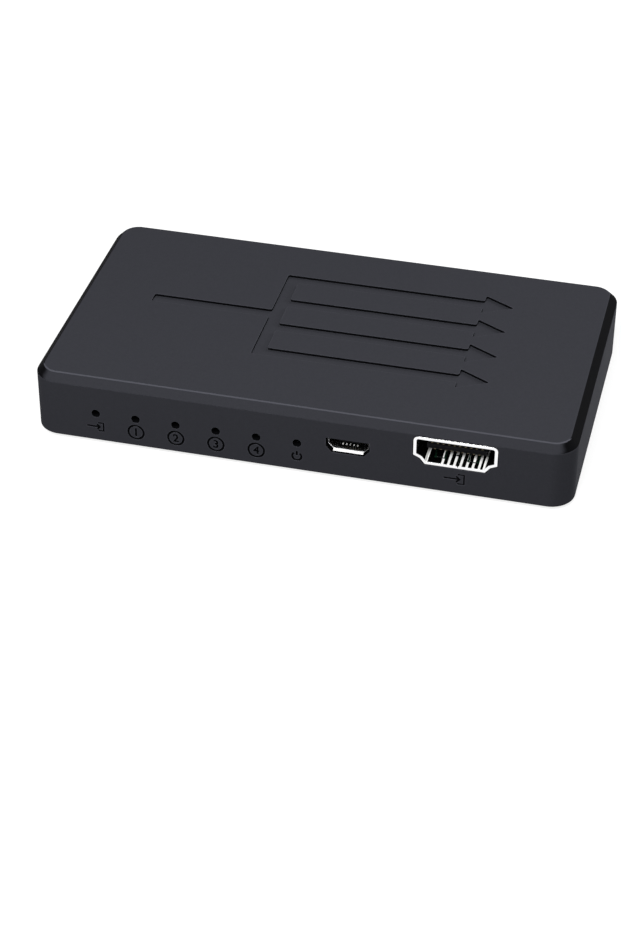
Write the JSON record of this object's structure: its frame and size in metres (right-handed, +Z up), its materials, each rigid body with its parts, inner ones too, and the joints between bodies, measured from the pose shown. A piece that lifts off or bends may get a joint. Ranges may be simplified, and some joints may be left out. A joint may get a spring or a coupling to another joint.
{
  "type": "hdmi splitter",
  "caption": "Flat plastic video splitter box with an input socket, a power socket and indicator lamps on one long side and output sockets on the other, round a circuit board.",
  "frame": {"origin": "under the middle of the case, on the plane that its feet stand on", "axes": "+X along the long side, to the right of someone who faces the input side; +Y from the input side to the output side; +Z up"},
  "size_m": [0.1, 0.0562, 0.0138],
  "materials": {
    "board_laminate": "solder mask",
    "can_metal": "satin",
    "case_plastic": "fine matt grain",
    "ceramic": "fired ceramic",
    "chip_plastic": "moulded epoxy",
    "contact_plating": "gold flash",
    "cover_plastic": "fine matt grain",
    "ferrite": "sintered",
    "foot_rubber": "matt",
    "fuse_body": "moulded",
    "lamp_lens": "smoked resin",
    "resistor_body": "glazed ceramic",
    "screw_steel": "black oxide",
    "socket_plastic": "moulded",
    "socket_steel": "bright nickel plating",
    "tinned_leads": "tin plating"
  },
  "bodies": {
    "root": {"bottom_cover": "cover_plastic", "can_capacitors": "can_metal", "ceramic_capacitors": "ceramic", "controller_chip": "chip_plastic", "controller_chip_leads": "tinned_leads", "cover_screws": "screw_steel", "crystal": "can_metal", "input_socket_contacts": "contact_plating", "input_socket_insulator": "socket_plastic", "input_socket_shell": "socket_steel", "lamp_input": "lamp_lens", "lamp_output_1": "lamp_lens", "lamp_output_2": "lamp_lens", "lamp_output_3": "lamp_lens", "lamp_output_4": "lamp_lens", "lamp_power": "lamp_lens", "lamp_resistors": "resistor_body", "main_board": "board_laminate", "memory_chip": "chip_plastic", "memory_chip_leads": "tinned_leads", "output_1_socket_contacts": "contact_plating", "output_1_socket_insulator": "socket_plastic", "output_1_socket_shell": "socket_steel", "output_2_socket_contacts": "contact_plating", "output_2_socket_insulator": "socket_plastic", "output_2_socket_shell": "socket_steel", "output_3_socket_contacts": "contact_plating", "output_3_socket_insulator": "socket_plastic", "output_3_socket_shell": "socket_steel", "output_4_socket_contacts": "contact_plating", "output_4_socket_insulator": "socket_plastic", "output_4_socket_shell": "socket_steel", "power_coil": "ferrite", "power_fuse": "fuse_body", "power_socket_contacts": "contact_plating", "power_socket_insulator": "socket_plastic", "power_socket_shell": "socket_steel", "rubber_feet": "foot_rubber", "splitter_chip": "chip_plastic", "splitter_chip_leads": "tinned_leads", "surge_guards": "chip_plastic", "upper_shell": "case_plastic", "voltage_regulator": "chip_plastic", "voltage_regulator_leads": "tinned_leads"}
  },
  "joints": []
}
